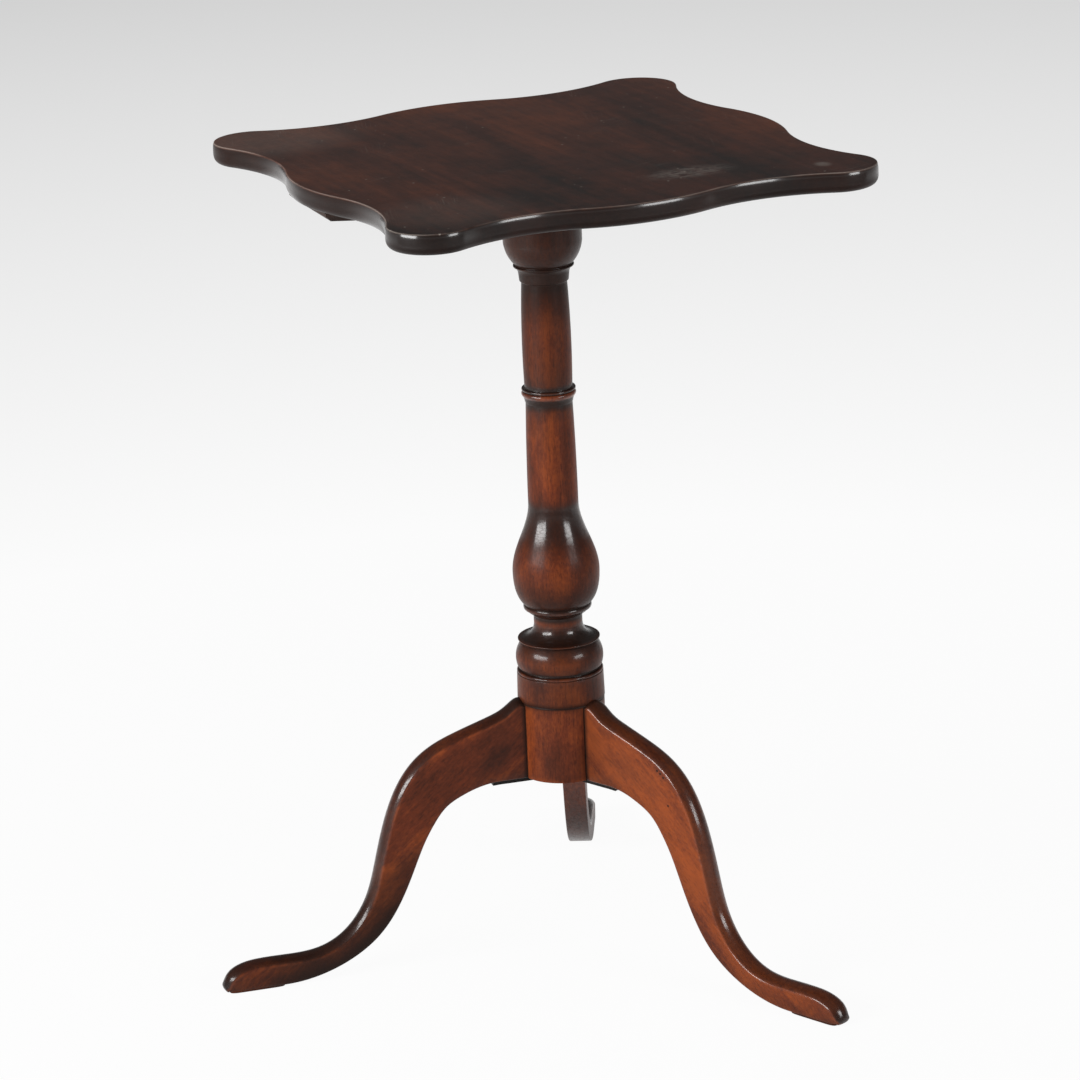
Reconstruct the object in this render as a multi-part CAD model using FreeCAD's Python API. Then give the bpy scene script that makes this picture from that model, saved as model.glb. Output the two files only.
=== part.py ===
"""Candle stand: a serpentine top on a turned column with three S-curved legs.

Millimetres. The origin is on the column's axis at floor level, +Z is up, and the sides of
the top run along X and Y.
"""
import FreeCAD, Part
import math
import os

from FreeCAD import Vector

# Whole stand
stand_height = 700.0
joint_gap = 0.1  # clearance between pieces of wood that are fitted together
same_level = 1e-6  # levels closer than this count as one

# Top board
top_width = 431.0
top_thickness = 18.0
lobe_radius = 36.0
bulge_radius = 160.0
bulge_setback = 1.0
cove_radius = 142.0
top_upper_round = 2.0
top_lower_round = 9.0

# Cleat under the top
cleat_turn = -3.6  # degrees from the top's side
cleat_length = 408.0
cleat_width = 90.0
cleat_thickness = 20.0
cleat_flat = 130.0
cleat_tip_thickness = 6.5
cleat_tip_bevel = 4.0
cleat_edge_thickness = 2.5

# Screws that hold the cleat to the top
screw_head_radius = 4.0
screw_head_height = 2.6
screw_shank_radius = 2.0
screw_point_length = 3.0
screw_bite = 12.0
screw_slot_width = 1.0
screw_slot_depth = 1.2
screw_sink = 0.6
screw_rows = (-150.0, -55.0, 55.0, 150.0)
screw_spread = 64.0

# Column, from the legs upwards
hub_radius = 37.0
hub_bottom = 157.0
hub_height = 67.0
drum_radius = 37.4
drum_head_radius = 36.9
drum_height = 23.4
fillet_bead_radius = 36.1
fillet_bead_height = 2.9
fillet_bead_bulge = 0.8
groove_radius = 33.6
groove_height = 2.6
torus_foot_radius = 36.0
torus_head_radius = 31.1
torus_height = 23.7
torus_bulge = 3.4
lip_radius = 35.0
lip_height = 1.2
trumpet_height = 12.4
trumpet_hollow = 4.2
neck_radius = 20.7
neck_height = 8.4
bead_radius = 27.1
bead_height = 5.2
bead_bulge = 0.7
ledge_radius = 28.4
ledge_height = 4.1
ledge_bulge = 0.7
vase_foot_radius = 28.0
vase_foot_slope = 42.0  # degrees from level
vase_radius = 36.95
vase_lower_height = 29.6
vase_upper_height = 59.5
shaft_foot_radius = 21.3
shaft_head_radius = 19.8
shaft_swell = 0.35
ring_step = 1.0
ring_hollow_radius = 20.3
ring_hollow_height = 4.9
ring_hollow = 0.3
bead_ring_radius = 22.1
bead_ring_height = 4.3
bead_ring_bulge = 1.0
ring_quirk_radius = 21.3
ring_quirk_height = 0.6
ring_rim_radius = 22.6
ring_rim_height = 2.0
ring_rim_bulge = 0.3
upper_shaft_foot_radius = 20.2
upper_shaft_head_radius = 19.2
upper_shaft_swell = 1.0
upper_shaft_share = 0.509
collar_step = 1.0
collar_foot_radius = 20.7
collar_head_radius = 21.35
collar_height = 6.1
flare_radius = 25.5
flare_height = 6.3
flare_hollow = 1.15
flare_rim_height = 1.2
collar_groove_radius = 23.8
collar_groove_height = 1.1
capital_foot_radius = 24.6
capital_radius = 33.1
capital_height = 56.6
bowl_height = 18.8
bowl_bulge = 1.7

# Tenon and wedge at the column's head
tenon_radius = 16.0
wedge_depth = 15.0
wedge_width = 4.0
wedge_point_width = 1.2

# Legs
leg_thickness = 20.0
leg_reach = 311.5
leg_dome = 5.0
dome_share = 0.6  # most of a section's height that the dome may take
leg_root = 8.0  # length of the loft inside the drum, cut off there
leg_setdown = 0.3  # top of the legs below the drum's turned line
foot_height = 24.5
sole_thickness = 1.6
sole_length = 50.0
sole_inset = 0.5
sole_bite = 3.0  # depth of the sole's root in the foot
toe_overhang = 3.0
toe_height = 5.5
leg_angles = {"leg_left": 171.3, "leg_front": 291.1, "leg_back": 61.7}

# Stations from the column to the toe, as shares of the leg's reach and rise:
# reach and rise of the crest, then reach and rise of the underside
leg_stations = (
    (0.012, 1.014, 0.012, 1.000),
    (0.030, 0.999, 0.030, 1.000),
    (0.055, 0.974, 0.052, 1.000),
    (0.100, 0.947, 0.090, 1.000),
    (0.200, 0.902, 0.156, 0.982),
    (0.292, 0.850, 0.209, 0.948),
    (0.361, 0.778, 0.258, 0.899),
    (0.415, 0.673, 0.298, 0.817),
    (0.458, 0.526, 0.337, 0.701),
    (0.490, 0.364, 0.376, 0.547),
    (0.528, 0.199, 0.432, 0.349),
    (0.592, 0.077, 0.511, 0.180),
    (0.684, 0.010, 0.640, 0.051),
    (0.790, 0.000, 0.776, 0.000),
    (0.870, 0.000, 0.856, 0.000),
)
# Stations round the toe, as shares of the foot's height: distance of the crest from the tip, its level,
# and distance of the underside from the tip
toe_stations = (
    (0.735, 0.900, 1.061),
    (0.265, 0.640, 0.653),
)

# Dovetail between each leg and the column
dovetail_depth = 18.0
dovetail_neck_width = 10.0
dovetail_tail_width = 15.0
dovetail_height = 56.0
dovetail_overlap = 6.0

# Iron plate under the column
plate_thickness = 3.4
plate_radius = 27.0
plate_arm_width = 15.0
plate_arm_end = 66.0
plate_lap = 3.0  # flat part of an arm past the drum's edge

# Nails through the plate
nail_head_radius = 4.0
nail_head_height = 1.8
nail_head_bulge = 0.6
nail_shank_radius = 1.7
nail_length = 18.0
nail_reaches = (45.0, 58.0)

# Levels that follow from the sizes above
top_underside = stand_height - top_thickness
column_head = top_underside - cleat_thickness
hub_top = hub_bottom + hub_height


def point(radius, height):
    """Point of an outline in the XZ plane."""
    return Vector(radius, 0, height)


def line(start, end):
    return Part.LineSegment(start, end).toShape()


def arc(start, middle, end):
    return Part.Arc(start, middle, end).toShape()


def turned(edges):
    """Solid of revolution about the Z axis from a closed outline."""
    face = Part.Face(Part.Wire(edges))
    return face.revolve(Vector(0, 0, 0), Vector(0, 0, 1), 360)


def bulging_arc(start, end, bulge):
    """Arc whose middle stands out from its chord by the bulge, outwards if it is positive."""
    chord = end - start
    side = Vector(chord.z, 0, -chord.x).normalize()
    return arc(start, (start + end) * 0.5 + side * bulge, end)


def swelling_curve(start, end, leaving, arriving):
    """Cubic from start to end with given directions at both ends, each pulled by a third of the chord."""
    pull = (end - start).Length / 3
    curve = Part.BezierCurve()
    curve.setPoles([start, start + leaving * pull, end - arriving * pull, end])
    return curve.toShape()


def on_circle(centre, radius, towards):
    """Point of a circle on the line from its centre towards another point."""
    return centre + (towards - centre).normalize() * radius


def cove_centre(bulge_centre, lobe_centre):
    """Centre of the cove that touches the bulge and the lobe from outside."""
    to_bulge = bulge_radius + cove_radius
    to_lobe = lobe_radius + cove_radius
    span = lobe_centre - bulge_centre
    along = (to_bulge ** 2 - to_lobe ** 2 + span.Length ** 2) / (2 * span.Length)
    across = math.sqrt(to_bulge ** 2 - along ** 2)
    forward = Vector(span).normalize()
    outward = Vector(forward.y, -forward.x, 0)
    return bulge_centre + forward * along + outward * across


def top_outline():
    """Serpentine outline: on each side a bulge between two coves, and a round lobe at each corner."""
    half = top_width / 2
    bulge = Vector(half - bulge_setback - bulge_radius, 0, 0)
    lobe = Vector(half - lobe_radius, half - lobe_radius, 0)
    cove = cove_centre(bulge, lobe)
    crest = Vector(half - bulge_setback, 0, 0)
    leaves_bulge = on_circle(bulge, bulge_radius, cove)
    meets_lobe = on_circle(lobe, lobe_radius, cove)
    hollow = cove + Vector(-cove_radius, 0, 0)
    corner = on_circle(lobe, lobe_radius, lobe * 2)

    def mirrored(spot):
        return Vector(spot.x, -spot.y, 0)

    def turned_corner(spot):
        return Vector(spot.y, spot.x, 0)

    side = [
        arc(mirrored(meets_lobe), mirrored(hollow), mirrored(leaves_bulge)),
        arc(mirrored(leaves_bulge), crest, leaves_bulge),
        arc(leaves_bulge, hollow, meets_lobe),
        arc(meets_lobe, corner, turned_corner(meets_lobe)),
    ]
    edges = []
    for quarter in range(4):
        for edge in side:
            copy = edge.copy()
            copy.rotate(Vector(0, 0, 0), Vector(0, 0, 1), 90 * quarter)
            edges.append(copy)
    return Part.Wire(Part.__sortEdges__(edges))


def edges_at(shape, height):
    """Level edges of a shape at a height."""
    return [edge for edge in shape.Edges if abs(edge.BoundBox.ZMin - height) < same_level
            and abs(edge.BoundBox.ZMax - height) < same_level]


def make_table_top():
    board = Part.Face(top_outline()).extrude(Vector(0, 0, top_thickness))
    board.translate(Vector(0, 0, top_underside))
    board = board.makeFillet(top_lower_round, edges_at(board, top_underside))
    return board.makeFillet(top_upper_round, edges_at(board, stand_height))


def cleat_depth(x):
    """Thickness of the cleat at a place along it, short of its bevelled tip."""
    taper_end = cleat_length / 2 - cleat_tip_bevel
    taper_start = cleat_flat / 2
    share = (abs(x) - taper_start) / (taper_end - taper_start)
    return cleat_thickness - max(share, 0.0) * (cleat_thickness - cleat_tip_thickness)


def make_cleat():
    """Board that is thick in the middle and tapers to bevelled tips."""
    tip = cleat_length / 2
    taper_end = tip - cleat_tip_bevel
    flat_end = cleat_flat / 2
    half = [
        (tip, 0.0),
        (tip, cleat_edge_thickness),
        (taper_end, cleat_tip_thickness),
        (flat_end, cleat_thickness),
    ]
    corners = [point(x, top_underside - depth) for x, depth in half]
    corners += [point(-x, top_underside - depth) for x, depth in reversed(half)]
    board = Part.Face(Part.makePolygon(corners + corners[:1])).extrude(Vector(0, cleat_width, 0))
    board.translate(Vector(0, -cleat_width / 2, 0))
    hole = Part.makeCylinder(tenon_radius + joint_gap, cleat_thickness, Vector(0, 0, column_head))
    return board.cut(hole)


def make_screw(x, y):
    """Countersunk wood screw that points up, with its head sunk in the cleat."""
    bottom = top_underside - cleat_depth(x) + screw_sink
    neck = bottom + screw_head_height
    tip = top_underside + screw_bite
    outline = [
        point(0, bottom),
        point(screw_head_radius, bottom),
        point(screw_shank_radius, neck),
        point(screw_shank_radius, tip - screw_point_length),
        point(0, tip),
    ]
    screw = turned(Part.makePolygon(outline + outline[:1]).Edges)
    slot = Part.makeBox(2 * screw_head_radius, screw_slot_width, screw_slot_depth,
                        Vector(-screw_head_radius, -screw_slot_width / 2, bottom))
    screw = screw.cut(slot)
    screw.translate(Vector(x, y, 0))
    return screw


def make_screw_hole(x, y):
    """Hole that the screw and its sunk head fill, open to the cleat's underside."""
    bottom = top_underside - cleat_depth(x) + screw_sink
    mouth_depth = screw_head_radius
    mouth = Part.makeCylinder(screw_head_radius, mouth_depth, Vector(x, y, bottom - mouth_depth))
    head = Part.makeCone(screw_head_radius, screw_shank_radius, screw_head_height, Vector(x, y, bottom))
    straight = top_underside + screw_bite - screw_point_length - bottom - screw_head_height
    shank = Part.makeCylinder(screw_shank_radius, straight, Vector(x, y, bottom + screw_head_height))
    tip = Part.makeCone(screw_shank_radius, 0, screw_point_length,
                        Vector(x, y, top_underside + screw_bite - screw_point_length))
    return mouth.fuse([head, shank, tip])


def screw_places():
    return [(x, side * screw_spread / 2) for x in screw_rows for side in (-1, 1)]


def column_outline():
    """Half outline of the turned column, from the centre of its foot up and round to the tenon."""
    edges = []
    spot = point(0, hub_bottom)

    def go(radius, height, bulge=0.0):
        nonlocal spot
        end = point(radius, height)
        edges.append(bulging_arc(spot, end, bulge) if bulge else line(spot, end))
        spot = end

    def up(radius, rise, bulge=0.0):
        go(radius, spot.z + rise, bulge)

    # Drum that takes the legs, with a turned line at the legs' top, and a fine bead and groove above
    go(hub_radius, hub_bottom)
    up(hub_radius, hub_height)
    up(drum_radius, 0)
    up(drum_head_radius, drum_height)
    up(fillet_bead_radius, 0)
    up(fillet_bead_radius, fillet_bead_height, fillet_bead_bulge)
    up(groove_radius, 0)
    up(groove_radius, groove_height)
    up(torus_foot_radius, 0)

    # Torus, sharp lip and the trumpet up to the neck
    up(torus_head_radius, torus_height, torus_bulge)
    up(lip_radius, 0)
    up(lip_radius, lip_height)
    up(neck_radius, trumpet_height, -trumpet_hollow)
    up(neck_radius, neck_height)

    # Bead and ledge under the vase, and the vase itself
    up(bead_radius, bead_height, bead_bulge)
    up(ledge_radius, 0)
    up(ledge_radius, ledge_height, ledge_bulge)
    up(vase_foot_radius, 0)
    slope = math.radians(vase_foot_slope)
    belly = point(vase_radius, spot.z + vase_lower_height)
    vase_top = point(shaft_foot_radius, belly.z + vase_upper_height)
    edges.append(swelling_curve(spot, belly, point(math.cos(slope), math.sin(slope)), point(0, 1)))
    edges.append(swelling_curve(belly, vase_top, point(0, 1), point(0, 1)))
    spot = vase_top

    # Two lengths of shaft with a ring between them
    capital_foot = column_head - capital_height
    ring_total = ring_step + ring_hollow_height + bead_ring_height + ring_quirk_height + ring_rim_height
    collar_total = collar_step + collar_height + flare_height + flare_rim_height + collar_groove_height
    shaft_total = capital_foot - collar_total - ring_total - vase_top.z
    up(shaft_head_radius, (1 - upper_shaft_share) * shaft_total, shaft_swell)
    up(ring_hollow_radius, ring_step)
    up(bead_ring_radius, ring_hollow_height, -ring_hollow)
    up(bead_ring_radius, bead_ring_height, bead_ring_bulge)
    up(ring_quirk_radius, 0)
    up(ring_quirk_radius, ring_quirk_height)
    up(ring_rim_radius, 0)
    up(ring_rim_radius, ring_rim_height, ring_rim_bulge)
    up(upper_shaft_foot_radius, 0)
    up(upper_shaft_head_radius, upper_shaft_share * shaft_total, upper_shaft_swell)

    # Collar with its flare, groove, bowl and drum of the capital
    up(collar_foot_radius, collar_step)
    up(collar_head_radius, collar_height)
    up(flare_radius, flare_height, -flare_hollow)
    up(flare_radius, flare_rim_height)
    up(collar_groove_radius, 0)
    up(collar_groove_radius, collar_groove_height)
    up(capital_foot_radius, 0)
    up(capital_radius, bowl_height, bowl_bulge)
    go(capital_radius, column_head)

    # Tenon through the cleat
    go(tenon_radius, column_head)
    go(tenon_radius, top_underside)
    go(0, top_underside)
    edges.append(line(spot, point(0, hub_bottom)))
    return edges


def dovetail(grow, extra_below):
    """Tongue of a leg along +X, or with some clearance the socket that takes it."""
    outer = hub_radius + dovetail_overlap
    inner = hub_radius - dovetail_depth - grow
    neck = dovetail_neck_width / 2 + grow
    tail = dovetail_tail_width / 2 + grow
    half = [(outer, neck), (hub_radius, neck), (inner, tail)]
    flat = half + [(x, -y) for x, y in reversed(half)]
    corners = [Vector(x, y, hub_bottom - extra_below) for x, y in flat]
    face = Part.Face(Part.makePolygon(corners + corners[:1]))
    return face.extrude(Vector(0, 0, dovetail_height + extra_below + grow))


def turned_to(shape, degrees):
    copy = shape.copy()
    copy.rotate(Vector(0, 0, 0), Vector(0, 0, 1), degrees)
    return copy


def make_wedge():
    """Wedge across the tenon, thin end down, flush with the tenon's sides and top."""
    outline = [
        point(-wedge_width / 2, top_underside),
        point(-wedge_point_width / 2, top_underside - wedge_depth),
        point(wedge_point_width / 2, top_underside - wedge_depth),
        point(wedge_width / 2, top_underside),
    ]
    blank = Part.Face(Part.makePolygon(outline + outline[:1])).extrude(Vector(0, 2 * tenon_radius, 0))
    blank.translate(Vector(0, -tenon_radius, 0))
    tenon = Part.makeCylinder(tenon_radius, cleat_thickness, Vector(0, 0, column_head))
    return blank.common(tenon)


def make_column():
    column = turned(column_outline())
    sockets = [turned_to(dovetail(joint_gap, joint_gap), angle) for angle in leg_angles.values()]
    return column.cut(sockets + [turned_to(make_wedge(), cleat_turn)])


def leg_section(crest, under):
    """Closed section of a leg: flat underside and sides, and a domed crest between crisp edges."""
    up = crest - under
    dome = min(leg_dome, dome_share * up.Length)
    edge = crest - up.normalize() * dome
    half = Vector(0, leg_thickness / 2, 0)
    return Part.Wire([
        line(under - half, under + half),
        line(under + half, edge + half),
        arc(edge + half, crest, edge - half),
        line(edge - half, under - half),
    ])


def leg_pairs():
    """Crest and underside points from inside the column to the toe."""
    reach = leg_reach - hub_radius
    crest_rise = hub_top - leg_setdown - foot_height
    under_rise = hub_bottom - sole_thickness
    root = hub_radius - leg_root
    pairs = [(point(root, hub_top - leg_setdown), point(root, hub_bottom))]
    for crest_out, crest_up, under_out, under_up in leg_stations:
        crest = point(hub_radius + crest_out * reach, foot_height + crest_up * crest_rise)
        under = point(hub_radius + under_out * reach, sole_thickness + under_up * under_rise)
        pairs.append((crest, under))
    for back, level, under_back in toe_stations:
        crest = point(leg_reach - back * foot_height, level * foot_height)
        under = point(leg_reach - under_back * foot_height, sole_thickness)
        pairs.append((crest, under))
    pairs.append((point(leg_reach, toe_height), point(leg_reach - toe_overhang, sole_thickness)))
    return pairs


def make_leg():
    """Leg along +X: a loft through its stations, cut to the drum, with its tongue and sole."""
    body = Part.makeLoft([leg_section(crest, under) for crest, under in leg_pairs()], True, False)
    hub = Part.makeCylinder(hub_radius + joint_gap, hub_top)
    drum = Part.makeCylinder(drum_radius + joint_gap, drum_height, Vector(0, 0, hub_top - joint_gap))
    body = body.cut([hub, drum])
    tongue = dovetail(0, 0)
    sole_end = leg_reach - toe_overhang - sole_inset
    sole_width = leg_thickness - 2 * sole_inset
    sole = Part.makeBox(sole_length, sole_width, sole_thickness + sole_bite,
                        Vector(sole_end - sole_length, -sole_width / 2, 0))
    return body.fuse([tongue, sole]).removeSplitter()


def underside_level(leg, reach):
    """Height of a leg's underside at a reach from the column's axis."""
    plumb = line(point(reach, 0), point(reach, hub_top))
    return leg.common(plumb).BoundBox.ZMin


def make_nail(level, reach):
    """Nail that points up, with its domed head against the plate's lower side."""
    seat = level - plate_thickness
    tip = seat + nail_length
    shank = [
        line(point(nail_head_radius, seat), point(nail_shank_radius, seat)),
        line(point(nail_shank_radius, seat), point(0, tip)),
        line(point(0, tip), point(0, seat - nail_head_height)),
    ]
    dome = bulging_arc(point(0, seat - nail_head_height), point(nail_head_radius, seat), nail_head_bulge)
    nail = turned(shank + [dome])
    nail.translate(Vector(reach, 0, 0))
    return nail


def make_plate_arm(leg):
    """Arm of the iron plate along +X, flat under the drum and bent to the underside of a leg."""
    under_drum = Part.makeBox(hub_radius + plate_lap, plate_arm_width, plate_thickness,
                              Vector(0, -plate_arm_width / 2, hub_bottom - plate_thickness))
    track = Part.makeBox(plate_arm_end - hub_radius / 2, plate_arm_width, hub_bottom,
                         Vector(hub_radius / 2, -plate_arm_width / 2, 0))
    lowered = leg.copy()
    lowered.translate(Vector(0, 0, -plate_thickness))
    return under_drum.fuse(lowered.common(track)).cut(leg)


def main():
    os.makedirs("parts", exist_ok=True)
    leg = make_leg()
    nails = [make_nail(underside_level(leg, reach), reach) for reach in nail_reaches]
    arm = make_plate_arm(leg)
    leg = leg.cut(nails)
    disc = Part.makeCylinder(plate_radius, plate_thickness, Vector(0, 0, hub_bottom - plate_thickness))
    plate = disc.fuse([turned_to(arm, angle) for angle in leg_angles.values()])
    all_nails = [turned_to(nail, angle) for angle in leg_angles.values() for nail in nails]
    screw_holes = [make_screw_hole(x, y) for x, y in screw_places()]
    pieces = {
        "table_top": make_table_top().cut([turned_to(hole, cleat_turn) for hole in screw_holes]),
        "cleat": turned_to(make_cleat().cut(screw_holes), cleat_turn),
        "cleat_screws": turned_to(Part.Compound([make_screw(x, y) for x, y in screw_places()]), cleat_turn),
        "column": make_column(),
        "tenon_wedge": turned_to(make_wedge(), cleat_turn),
        "brace_plate": plate.cut(all_nails).removeSplitter(),
        "brace_nails": Part.Compound(all_nails),
    }
    for name, angle in leg_angles.items():
        pieces[name] = turned_to(leg, angle)
    for name, shape in pieces.items():
        shape.exportStep("parts/%s.step" % name)
        print(name, "solids", len(shape.Solids), "valid", shape.isValid(), "volume", round(shape.Volume))


main()
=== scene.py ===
"""Candle stand: fine surfaces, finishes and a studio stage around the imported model. Metres."""

import math
from functools import reduce

import bpy
import numpy as np
from mathutils import Matrix, Vector


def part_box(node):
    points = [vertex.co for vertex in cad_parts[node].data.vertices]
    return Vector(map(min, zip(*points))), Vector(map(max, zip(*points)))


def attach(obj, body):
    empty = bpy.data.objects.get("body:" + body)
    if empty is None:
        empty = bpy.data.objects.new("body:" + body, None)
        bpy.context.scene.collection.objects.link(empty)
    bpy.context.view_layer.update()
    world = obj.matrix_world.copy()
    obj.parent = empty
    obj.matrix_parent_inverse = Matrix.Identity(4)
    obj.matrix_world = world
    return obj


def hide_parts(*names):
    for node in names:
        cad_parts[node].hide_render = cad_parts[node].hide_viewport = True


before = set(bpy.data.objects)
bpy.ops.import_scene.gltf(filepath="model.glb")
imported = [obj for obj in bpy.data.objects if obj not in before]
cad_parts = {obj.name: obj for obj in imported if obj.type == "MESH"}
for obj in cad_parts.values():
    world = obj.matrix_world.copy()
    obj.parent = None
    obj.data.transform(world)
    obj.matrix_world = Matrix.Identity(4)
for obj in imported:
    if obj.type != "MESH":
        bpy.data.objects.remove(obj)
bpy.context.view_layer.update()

bl_info = {
    "name": "Candle stand",
    "version": (1, 0, 0),
    "blender": (4, 5, 0),
    "location": "View3D > Sidebar > Candle stand",
    "description": "Makes the surfaces, finishes and studio stage of a serpentine candle stand",
    "category": "Add Mesh",
}

MM = 0.001
ORIGIN = (0.0, 0.0, 0.0)
STAND_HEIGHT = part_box("table_top")[1].z
TOP_THICKNESS = STAND_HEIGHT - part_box("table_top")[0].z
TOP_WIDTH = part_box("table_top")[1].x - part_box("table_top")[0].x
LEG_ANGLES = {"leg_left": 171.3, "leg_front": 291.1, "leg_back": 61.7}
HUB_RADIUS = 37.0 * MM
HUB_BOTTOM = 157.0 * MM
HUB_TOP = 224.0 * MM

# Turned outline from the foot of the drum up to the vase, in millimetres:
# radius reached, rise, and how far the stretch stands out from its chord
LOWER_TURNING = (
    (37.0, 0.0, 0.0), (37.0, 66.5, 0.0), (36.6, 0.5, 0.0), (37.4, 0.5, 0.0), (36.9, 22.9, 0.0),
    (36.1, 0.0, 0.0), (36.1, 2.9, 0.8), (33.6, 0.0, 0.0), (33.6, 2.6, 0.0), (36.0, 0.0, 0.0),
    (31.1, 23.7, 3.4), (35.0, 0.0, 0.0), (35.0, 1.2, 0.0), (20.7, 12.4, -4.2), (20.7, 8.4, 0.0),
    (27.1, 5.2, 0.7), (28.4, 0.0, 0.0), (28.4, 4.1, 0.7), (28.0, 0.0, 0.0),
)
# Vase, the foot of the shaft above it, and the tenon at the column's head, also in millimetres
VASE_RADIUS = 36.95
VASE_LOWER = 29.6
VASE_UPPER = 59.5
VASE_FOOT_SLOPE = math.radians(42.0)
SHAFT_FOOT = 21.3
COLUMN_HEAD = 662.0
TENON_RADIUS = 16.0
# Turned outline from the vase up to the capital
UPPER_TURNING = (
    (19.8, 88.32, 0.35), (20.3, 1.0, 0.0), (22.1, 4.9, -0.3), (22.1, 4.3, 1.0), (21.3, 0.0, 0.0),
    (21.3, 0.6, 0.0), (22.6, 0.0, 0.0), (22.6, 2.0, 0.3), (20.2, 0.0, 0.0), (19.2, 91.58, 1.0),
    (20.7, 1.0, 0.0), (21.35, 6.1, 0.0), (25.5, 6.3, -1.15), (25.5, 1.2, 0.0), (23.8, 0.0, 0.0),
    (23.8, 1.1, 0.0), (24.6, 0.0, 0.0), (33.1, 18.8, 1.7),
)

# Stations of a leg from the column to the toe, as shares of its reach and rise:
# reach and rise of the crest, then reach and rise of the underside
LEG_STATIONS = np.array((
    (0.012, 1.014, 0.012, 1.000),
    (0.030, 0.999, 0.030, 1.000),
    (0.055, 0.974, 0.052, 1.000),
    (0.100, 0.947, 0.090, 1.000),
    (0.200, 0.902, 0.156, 0.982),
    (0.292, 0.850, 0.209, 0.948),
    (0.361, 0.778, 0.258, 0.899),
    (0.415, 0.673, 0.298, 0.817),
    (0.458, 0.526, 0.337, 0.701),
    (0.490, 0.364, 0.376, 0.547),
    (0.528, 0.199, 0.432, 0.349),
    (0.592, 0.077, 0.511, 0.180),
    (0.684, 0.010, 0.640, 0.051),
    (0.790, 0.000, 0.776, 0.000),
    (0.870, 0.000, 0.856, 0.000),
))
# Stations of the toe in the same columns, as shares of the foot's height from the tip on the floor
TOE_STATIONS = np.array(((-0.735, 0.900, -1.061, 0.0), (-0.265, 0.640, -0.653, 0.0)))
LEG_ROOT = 8.0 * MM
LEG_SETDOWN = 0.3 * MM
FOOT_HEIGHT = 24.5 * MM
SOLE_THICKNESS = 1.6 * MM
TOE_HEIGHT = 5.5 * MM
TOE_OVERHANG = 3.0 * MM
TOE_ROUNDING = 2.4 * MM
NOSE_LENGTH = 13.0 * MM
NOSE_NARROWING = 0.42
NOSE_POWER = 2.6
NOSE_TURNS = np.radians((20, 38, 54, 68, 80))
SOLE_LENGTH = 50.0 * MM


def srgb(red, green, blue):
    """Linear colour from display values of 0 to 255."""
    share = np.array((red, green, blue)) / 255
    return tuple(np.where(share <= 0.04045, share / 12.92, ((share + 0.055) / 1.055) ** 2.4))


def size(name, description, millimetres):
    """A length that a user may change."""
    return bpy.props.FloatProperty(name=name, description=description, default=millimetres * MM,
                                   min=0.0, precision=4, unit="LENGTH")


def colour(name, description, red, green, blue):
    """A colour that a user may change."""
    return bpy.props.FloatVectorProperty(name=name, description=description, size=3, min=0.0, max=1.0,
                                         default=srgb(red, green, blue), subtype="COLOR")


class StandSizes(bpy.types.PropertyGroup):
    """Sizes of the visible surfaces."""
    lobe_radius: size("Lobe radius", "Radius of the round corners of the top", 36.0)
    bulge_radius: size("Bulge radius", "Radius of the bulge in the middle of each side", 160.0)
    bulge_setback: size("Bulge setback", "How far a bulge stays behind the lobes", 1.0)
    cove_radius: size("Cove radius", "Radius of the hollows beside a bulge", 142.0)
    edge_belly: size("Edge belly", "Level of the widest part of the edge below the top", 9.0)
    edge_inset: size("Edge inset", "How far the upper arris stays behind the widest part", 1.0)
    edge_under: size("Edge underside", "How far the edge is rounded away below", 9.0)
    arris: size("Arris", "Softness of the crisp edges", 0.7)
    leg_reach: size("Leg reach", "Distance of the toes from the column's axis", 311.5)
    leg_thickness: size("Leg thickness", "Thickness of a leg between its flat sides", 20.0)
    leg_dome: size("Leg dome", "Height of the rounded crest of a leg", 5.0)


class StandColours(bpy.types.PropertyGroup):
    """Colours of the finishes."""
    wood_light: colour("Light wood", "Worn and sunny streaks of the wood", 157, 76, 35)
    wood_mid: colour("Wood", "Main colour of the polished wood", 107, 49, 28)
    # Dark wood is also the painted shade in the column's groove at 223 to 225 mm and under the top.
    wood_dark: colour("Dark wood", "Dark streaks and stain in the hollows", 29, 19, 15)
    top_light: colour("Light top", "Reddish streaks in the top", 134, 72, 45)
    top_mid: colour("Top", "Main colour of the top", 90, 48, 34)
    top_dark: colour("Dark top", "Dark streaks of the top", 42, 24, 18)
    top_edge: colour("Edge of the top", "Almost black stain on the edge of the top", 24, 15, 12)
    # The bloom colour is also the painted sheen near two lobes of the top and the painted highlight along its
    # arris.
    bloom_and_sheen: colour("Bloom", "Pale scuffs and specks in the polish", 168, 158, 150)
    cleat_wood: colour("Cleat wood", "Stained wood under the top", 52, 34, 26)
    iron: colour("Iron", "Blackened iron of the plate and nails", 30, 28, 27)
    rust: colour("Rust", "Rust in the pits of the iron", 74, 42, 28)
    steel: colour("Steel", "Dull steel of the screws", 112, 106, 98)
    floor: colour("Floor", "Pale studio floor", 236, 236, 236)


# Shader maths

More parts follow.
